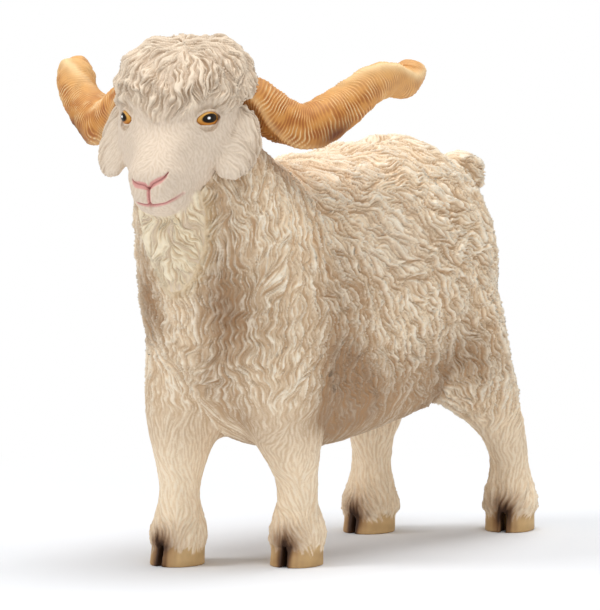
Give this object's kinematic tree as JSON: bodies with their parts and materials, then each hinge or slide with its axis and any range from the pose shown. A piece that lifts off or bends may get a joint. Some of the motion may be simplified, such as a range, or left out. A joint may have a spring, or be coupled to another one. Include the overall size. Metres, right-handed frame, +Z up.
{
  "type": "goat figurine",
  "caption": "Standing long-fleeced goat figurine with wide ribbed twisting horns, drooping ears, a curly mop, a beard and cloven hooves, its head turned to its left.",
  "frame": {"origin": "on the floor under the hooves, at the middle of the figure's outline box", "axes": "-Y is the way the body faces, +X is the goat's left, +Z is up"},
  "size_m": [0.0515, 0.0803, 0.0731],
  "materials": {
    "fleece": "painted cream with a thin brown wash in the furrows",
    "face": "painted off-white, pink lines at the nose and mouth",
    "horn": "painted golden tan, darker between the growth rings",
    "hoof": "painted tan with a dark cleft",
    "eye": "glossy amber with a black pupil"
  },
  "bodies": {
    "root": {"torso": "fleece", "head": "face", "forelock": "fleece", "left_horn": "horn", "right_horn": "horn", "left_ear": "face", "right_ear": "face", "left_eye": "eye", "right_eye": "eye", "beard": "fleece", "tail": "fleece", "front_left_leg": "fleece", "front_right_leg": "fleece", "rear_left_leg": "fleece", "rear_right_leg": "fleece", "front_left_hoof": "hoof", "front_right_hoof": "hoof", "rear_left_hoof": "hoof", "rear_right_hoof": "hoof"}
  },
  "joints": []
}
